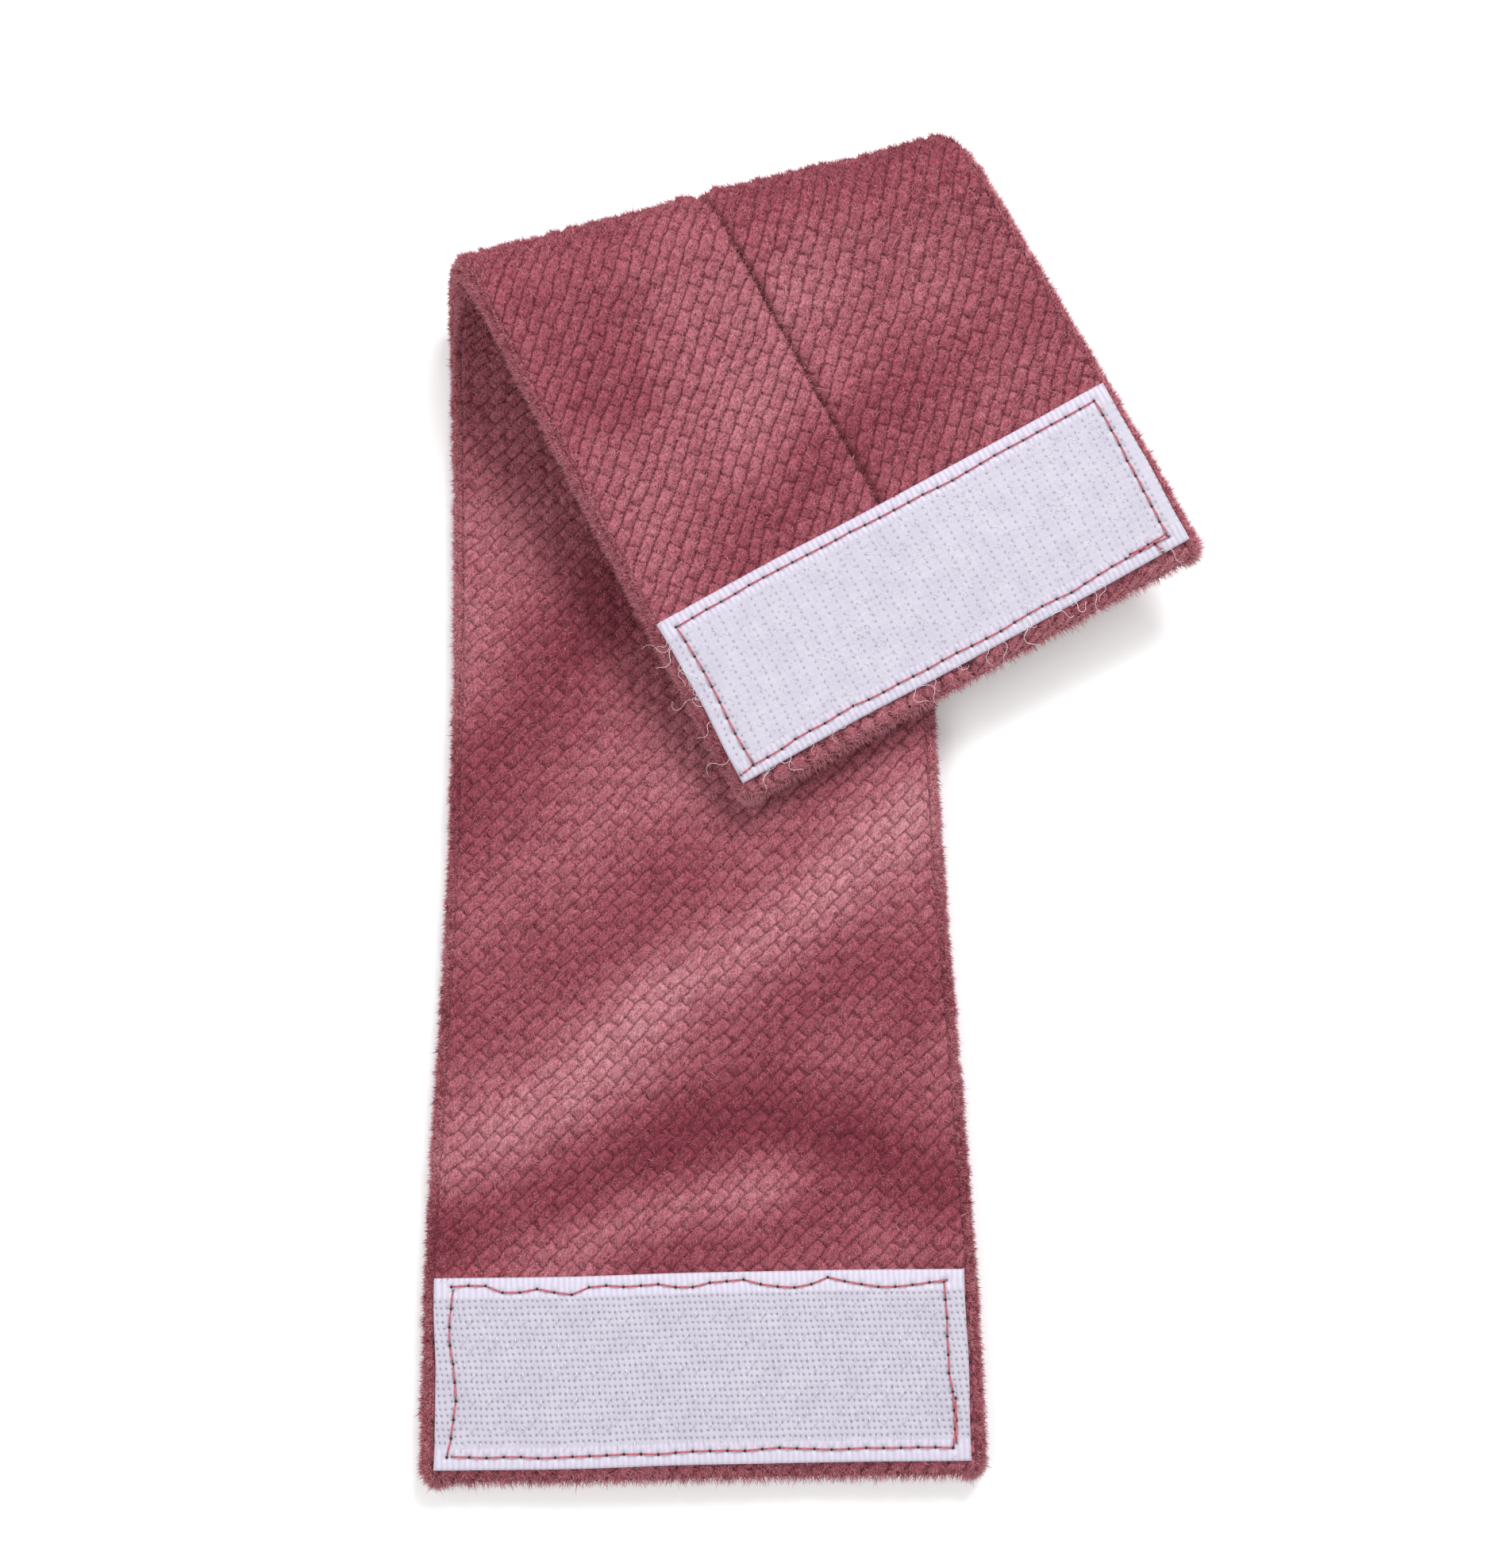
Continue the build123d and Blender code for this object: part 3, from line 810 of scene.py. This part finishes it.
def tape_ground(kind, stitches):
    """The woven ground as one closed slab, with ribbed selvedges and a dimple at every needle hole."""
    nu, nv = round(TAPE_ACROSS / TAPE_GRID) + 1, round(TAPE_ALONG / TAPE_GRID) + 1
    us, vs = np.linspace(-0.5, 0.5, nu) * TAPE_ACROSS, np.linspace(-0.5, 0.5, nv) * TAPE_ALONG
    u, v = np.meshgrid(us, vs, indexing="ij")
    field = np.clip((TAPE_ALONG / 2 - SELVEDGE - np.abs(v)) / 0.3, 0, 1)
    ribs = np.cos(2 * pi * u / RIB)
    holes = stitches.reshape(-1, 2)
    near = np.full(u.shape, 9.0)
    for hu, hv in holes:
        near = np.minimum(near, np.hypot(u - hu, v - hv))
    pucker = np.exp(-((near / 0.40) ** 2))
    edge = np.minimum((TAPE_ACROSS / 2 - np.abs(u)) / 0.3, (TAPE_ALONG / 2 - np.abs(v)) / 0.3)
    rounding = 0.18 * (1 - np.sqrt(1 - (1 - np.clip(edge, 0, 1)) ** 2))
    unevenness = GROUND_ROUGH[kind] * noise(u, v, 0.5, 47)
    top = BASE_TOP + 0.03 * ribs * (1 - field) + unevenness * field - 0.28 * pucker - rounding
    upper = on_tape(kind, u, v, top).reshape(-1, 3)
    index = np.arange(nu * nv).reshape(nu, nv)
    rim = np.concatenate([index[:, 0], index[-1, 1:], index[-2::-1, -1], index[0, -2:0:-1]])
    low_u, low_v = u.ravel()[rim], v.ravel()[rim]
    lower = on_tape(kind, low_u, low_v, BASE_BOTTOM + 0 * low_u)
    centre = on_tape(kind, np.zeros(1), np.zeros(1), np.full(1, BASE_BOTTOM))
    points = np.concatenate([upper, lower, centre])
    a, b = index[:-1, :-1], index[1:, 1:]
    first = np.stack([a, index[1:, :-1], b], -1).reshape(-1, 3)
    second = np.stack([a, b, index[:-1, 1:]], -1).reshape(-1, 3)
    ring = np.arange(len(rim))
    after = (ring + 1) % len(rim)
    base = len(upper)
    walls = np.concatenate([
        np.stack([rim[ring], base + ring, base + after], -1),
        np.stack([rim[ring], base + after, rim[after]], -1),
    ])
    floor_fan = np.stack([base + after, base + ring, np.full(len(rim), len(points) - 1)], -1)
    faces = np.concatenate([first, second, walls, floor_fan])
    if FACE[kind] < 0:
        faces = faces[:, ::-1]
    flat_u, flat_v = np.concatenate([u.ravel(), low_u, [0]]), np.concatenate([v.ravel(), low_v, [0]])
    su, sv = (flat_u / TAPE_ACROSS + 0.5) * 0.94 + 0.03, (flat_v / TAPE_ALONG + 0.5) * 0.94 + 0.03
    out = np.concatenate([np.zeros(len(upper)), np.ones(len(rim)), [0]])
    su = su + 0.02 * out * np.sign(flat_u) * (np.abs(flat_u) > TAPE_ACROSS / 2 - 0.1)
    sv = sv + 0.02 * out * np.sign(flat_v) * (np.abs(flat_v) > TAPE_ALONG / 2 - 0.1)
    uv = np.stack([su, sv], -1)[faces]
    uv[-len(floor_fan):] = 0.004 + 0.004 * np.array([[0, 0], [1, 0], [0, 1]])
    # painted shade at every needle hole
    needle_hole_shade = np.clip(1.25 * np.exp(-((near / 0.17) ** 2)), 0, 1).ravel()
    pad = len(points) - len(upper)
    obj = make_mesh(
        f"{kind}_tape_ground", points, faces, uv,
        {
            "flat": np.stack([flat_u, flat_v, 0 * flat_u], -1),
            "field": np.concatenate([field.ravel(), np.zeros(pad)]),
            "needle_hole_shade": np.concatenate([needle_hole_shade, np.zeros(pad)]),
        },
    )
    obj.data.materials.append(grounds[kind])
    return obj


def stitching(kind, stitches):
    """Every stitch as a short piece of thread that dives into the tape at both ends."""
    t = np.linspace(0, 1, 9)
    a, b = stitches[:, 0][:, None], stitches[:, 1][:, None]
    line = a + (b - a) * (0.08 + 0.84 * t)[None, :, None]
    arch = -0.34 + 0.50 * np.sin(pi * t) ** 0.55
    height = BASE_TOP + 0.02 + np.broadcast_to(arch, line.shape[:2])
    paths = on_tape(kind, line[..., 0], line[..., 1], height)
    radius = THREAD * (0.8 + 0.2 * np.sin(pi * t)) / 1000
    points, faces = tubes(paths, np.broadcast_to(radius, line.shape[:2]).copy(), 8)
    count = len(stitches)
    # painted shade: the stitches darken towards their ends, and a short dark piece of thread sits in each
    # needle hole
    ends = stitches[:, 0]
    sink = np.array([-0.45, -0.30, -0.20])
    wells = on_tape(kind, ends[:, :1] + 0 * sink, ends[:, 1:] + 0 * sink, BASE_TOP + sink + 0 * ends[:, :1])
    well_radius = np.broadcast_to(np.array([0.12, 0.17, 0.15]) / 1000, wells.shape[:2])
    well_points, well_faces = tubes(wells, well_radius.copy(), 8)
    faces = np.concatenate([faces, well_faces + len(points)])
    points = np.concatenate([points, well_points])
    spare = len(well_points)
    around = np.tile(np.tile(np.arange(8) / 8 * 2 * pi, len(t)), count)
    lengthwise = np.tile(np.repeat(t * 16, 8), count)
    shade = np.tile(np.repeat(np.sin(pi * t) ** 0.4, 8), count)
    obj = make_mesh(
        f"{kind}_tape_thread", points, faces, atlas_uv(1, len(faces)),
        {
            "twist": np.concatenate([around + lengthwise, np.zeros(spare)]),
            "tint_and_shade": np.concatenate([shade, np.full(spare, -0.6)]),
            "flat": np.concatenate([
                np.repeat(np.stack([line[..., 0], line[..., 1], height], -1).reshape(-1, 3), 8, axis=0),
                np.repeat(np.concatenate([ends, 0 * ends[:, :1]], 1), spare // count, axis=0),
            ]),
        },
    )
    obj.data.materials.append(thread)
    return obj


def filament_piece(kind, name, u, v, height, radius, sides, tint_and_shade):
    """Tubes along paths given on a tape, as one piece."""
    paths = on_tape(kind, u, v, height)
    points, faces = tubes(paths, radius / 1000, sides)
    obj = make_mesh(
        name, points, faces, atlas_uv(2 * sides, len(faces)),
        {
            "tint_and_shade": np.repeat(tint_and_shade.ravel(), sides),
            "flat": np.repeat(np.stack([u, v, height], -1).reshape(-1, 3), sides, axis=0),
        },
    )
    obj.data.materials.append(filaments[kind])
    return obj


def hook_pile():
    """Rows of small nylon hooks, bent over one way in one row and the other way in the next."""
    pitch_u, pitch_v = 1.83, 1.4
    us = np.arange(-25.3, 25.4, pitch_u)
    vs = np.arange(-7.4, 7.6, pitch_v)
    u, v = np.meshgrid(us, vs, indexing="ij")
    u = u + (np.arange(len(vs)) % 2) * pitch_u / 2
    sense = np.where(np.arange(len(vs)) % 2, 1.0, -1.0) + 0 * u
    u, v, sense = u.ravel(), v.ravel(), sense.ravel()
    count = len(u)
    u, v = u + rng.normal(0, 0.09, count), v + rng.normal(0, 0.09, count)
    bend = np.array([0, 0, 0, 0.10, 0.28, 0.42, 0.44])
    rise = 0.8 * np.array([-0.15, 0.2, 0.42, 0.62, 0.66, 0.52, 0.36])
    yaw = rng.normal(0, 0.35, count)
    size = rng.uniform(0.85, 1.1, count)
    out = bend * (sense * size)[:, None]
    drift = rng.normal(0, 0.05, (count, 1)) * np.linspace(0, 1, 7)
    path_u = u[:, None] + out * np.sin(yaw)[:, None] + drift
    path_v = v[:, None] + out * np.cos(yaw)[:, None]
    height = BASE_TOP + rise * size[:, None]
    radius = 0.62 * np.broadcast_to([0.075, 0.07, 0.07, 0.068, 0.065, 0.06, 0.045], path_u.shape)
    # painted shade at each hook's foot and painted light on its crown, with random tone from hook to hook
    tint_and_shade = np.array([0.2, 0.3, 0.5, 0.8, 1.0, 0.8, 0.6]) * rng.uniform(0.7, 1.0, (count, 1))
    return filament_piece("hook", "hook_tape_hooks", path_u, path_v, height, radius, 6, tint_and_shade)


def loop_pile(count, reach_u, reach_v, span, rise, radii):
    """Fine curled filaments, each rising from the ground and coming back to it."""
    t = np.linspace(0, 1, 8)
    u, v = rng.uniform(-reach_u, reach_u, count), rng.uniform(-reach_v, reach_v, count)
    heading = rng.uniform(0, 2 * pi, count)
    long = rng.uniform(*span, count)
    high = rng.uniform(*rise, count)
    swing = rng.normal(0, 0.35, count)
    along = (t - 0.5) * long[:, None] + 0.12 * np.sin(4 * pi * t) * long[:, None]
    out = swing[:, None] * np.sin(pi * t) + 0.08 * np.sin(6 * pi * t + heading[:, None])
    path_u = u[:, None] + along * np.cos(heading)[:, None] - out * np.sin(heading)[:, None]
    path_v = v[:, None] + along * np.sin(heading)[:, None] + out * np.cos(heading)[:, None]
    height = BASE_TOP - 0.04 + high[:, None] * np.sin(pi * t) ** 0.8
    radius = np.broadcast_to(rng.uniform(*radii, (count, 1)), path_u.shape)
    # painted light on the top of each loop and painted shade where it meets the ground, with random tone
    # from loop to loop
    tint_and_shade = (0.35 + 0.65 * np.sin(pi * t)) * rng.uniform(0.5, 1.0, (count, 1))
    return filament_piece("loop", "loop_tape_loops", path_u, path_v, height, radius, 3, tint_and_shade)


def stray_fibres(count):
    """Long fine curls of loop pile that have pulled out at the end and the left side of the loop tape."""
    t = np.linspace(0, 1, 14)
    at_end = np.arange(count) % 3 > 0
    u = np.where(at_end, rng.uniform(-27.5, 27.5, count), rng.uniform(-28.2, -27.2, count))
    v = np.where(at_end, rng.uniform(9.0, 9.8, count), rng.uniform(-8.5, 9.0, count))
    heading = np.where(at_end, rng.normal(pi / 2, 0.9, count), rng.normal(pi, 1.1, count))
    long = rng.uniform(1.4, 4.6, count)
    bend = rng.normal(0, 1.6, count)
    angle = heading[:, None] + bend[:, None] * t + 0.9 * np.sin(7 * t + 3 * heading[:, None])
    step = long[:, None] / (len(t) - 1)
    path_u = u[:, None] + np.cumsum(step * np.cos(angle), 1)
    path_v = v[:, None] + np.minimum(np.cumsum(step * np.sin(angle), 1), 3.0)
    height = BASE_TOP - 0.05 + rng.uniform(0.2, 0.8, (count, 1)) * np.sin(pi * t) + 0.1 * t
    radius = np.broadcast_to(rng.uniform(0.020, 0.030, (count, 1)) * (1 - 0.4 * t), path_u.shape)
    tint_and_shade = np.full(path_u.shape, 0.9)
    return filament_piece("loop", "loop_tape_stray_fibres", path_u, path_v, height, radius, 4, tint_and_shade)


for kind in ("hook", "loop"):
    line = stitch_line(kind)
    ground = tape_ground(kind, line)
    pieces = [ground, stitching(kind, line)]
    if kind == "hook":
        pieces.append(hook_pile())
    else:
        pieces.append(loop_pile(1300, 25.8, 7.7, span=(0.3, 1.3), rise=(0.03, 0.14), radii=(0.016, 0.024)))
        pieces.append(stray_fibres(48))
    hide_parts(f"{kind}_tape")
    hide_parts(f"{kind}_tape_stitching")
    for piece, slot in zip(pieces, (f"{kind}_tape", "thread", f"{kind}_tape", f"{kind}_tape")):
        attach(piece, BODY[kind])


# ---- Floor, light and camera ----
def seen_rays(tree):
    """1 for a surface seen directly, in a reflection or through glass, and 0 where it only lights."""
    path = tree.nodes.new("ShaderNodeLightPath")
    seen = path.outputs["Is Camera Ray"]
    for other in ("Is Glossy Ray", "Is Transmission Ray"):
        larger = tree.nodes.new("ShaderNodeMath")
        larger.operation = "MAXIMUM"
        tree.links.new(seen, larger.inputs[0])
        tree.links.new(path.outputs[other], larger.inputs[1])
        seen = larger.outputs[0]
    return seen


def studio_floor():
    """A wide plain floor that shows white and still takes the band's shadow."""
    mesh = bpy.data.meshes.new("floor")
    corners = [(x * FLOOR_HALF, y * FLOOR_HALF, 0) for x, y in ((-1, -1), (1, -1), (1, 1), (-1, 1))]
    mesh.from_pydata(corners, [], [(0, 1, 2, 3)])
    floor = bpy.data.objects.new("floor", mesh)
    bpy.context.scene.collection.objects.link(floor)
    n = Nodes("floor")
    spot = n.add("ShaderNodeTexCoord").outputs["Object"]
    mottle = n.noise(spot, 14.0, 2.0, 0.5)
    pale = n.ramp(mottle, (0.3, srgb(240, 240, 240)), (0.7, srgb(243, 243, 243)))
    n.finish(pale, 0.9, Specular_IOR_Level=0.1)
    far = n.tree.nodes.new("ShaderNodeVectorMath")
    far.operation = "LENGTH"
    n.put(far.inputs[0], spot)
    near_grey, far_grey = (*3 * [FLOOR_GLOW], 1), (*3 * [FAR_GLOW], 1)
    glow = n.ramp(n.math("MULTIPLY", far.outputs["Value"], 0.5), (0.15, near_grey), (0.6, far_grey))
    n.put(n.shader.inputs["Emission Color"], (1, 1, 1, 1))
    n.put(n.shader.inputs["Emission Strength"], n.math("MULTIPLY", seen_rays(n.tree), glow))
    mesh.materials.append(n.material)


# the floor's own glow near the band and far off, and how strongly the white surroundings light the band
FLOOR_HALF = 3.0
FLOOR_GLOW, FAR_GLOW = 0.20, 0.62
WORLD_LIGHT = 0.54
studio_floor()
EYE_TILT, EYE_TURN = radians(13), radians(0.95)
TARGET = Vector((-0.007583, 0.001617, 0))
EYE_DISTANCE = 0.311
right = Vector((cos(EYE_TURN), -sin(EYE_TURN), 0))
up = Vector((cos(EYE_TILT) * sin(EYE_TURN), cos(EYE_TILT) * cos(EYE_TURN), sin(EYE_TILT)))
back = right.cross(up)


def lamp(name, at, size, power):
    """A square soft lamp that faces the band."""
    data = bpy.data.lights.new(name, "AREA")
    data.size, data.energy = size, power
    obj = bpy.data.objects.new(name, data)
    obj.location = at
    obj.rotation_mode = "QUATERNION"
    obj.rotation_quaternion = (-Vector(at)).to_track_quat("-Z", "Y")
    bpy.context.scene.collection.objects.link(obj)


lamp("key", (0.24, 0.56, 0.70), 0.32, 6.0)
lamp("fill", (-0.46, -0.30, 0.74), 0.50, 2.7)
world = bpy.data.worlds.new("studio")
bpy.context.scene.world = world
world.use_nodes = True
world.node_tree.nodes["Background"].inputs["Color"].default_value = (1, 1, 1, 1)
strength = world.node_tree.nodes.new("ShaderNodeMath")
strength.operation = "MULTIPLY_ADD"
strength.inputs[1].default_value = 1 - WORLD_LIGHT
strength.inputs[2].default_value = WORLD_LIGHT
world.node_tree.links.new(seen_rays(world.node_tree), strength.inputs[0])
world.node_tree.links.new(strength.outputs[0], world.node_tree.nodes["Background"].inputs["Strength"])

camera_data = bpy.data.cameras.new("camera")
camera_data.sensor_fit = "HORIZONTAL"
camera_data.sensor_width = 36.0
camera_data.lens = 66.40
camera_data.clip_start, camera_data.clip_end = 0.01, 20
camera = bpy.data.objects.new("camera", camera_data)
bpy.context.scene.collection.objects.link(camera)
facing = Matrix((right, up, back)).transposed().to_4x4()
camera.matrix_world = Matrix.Translation(TARGET + EYE_DISTANCE * back) @ facing
bpy.context.scene.camera = camera
bpy.context.scene.view_settings.view_transform = "Standard"
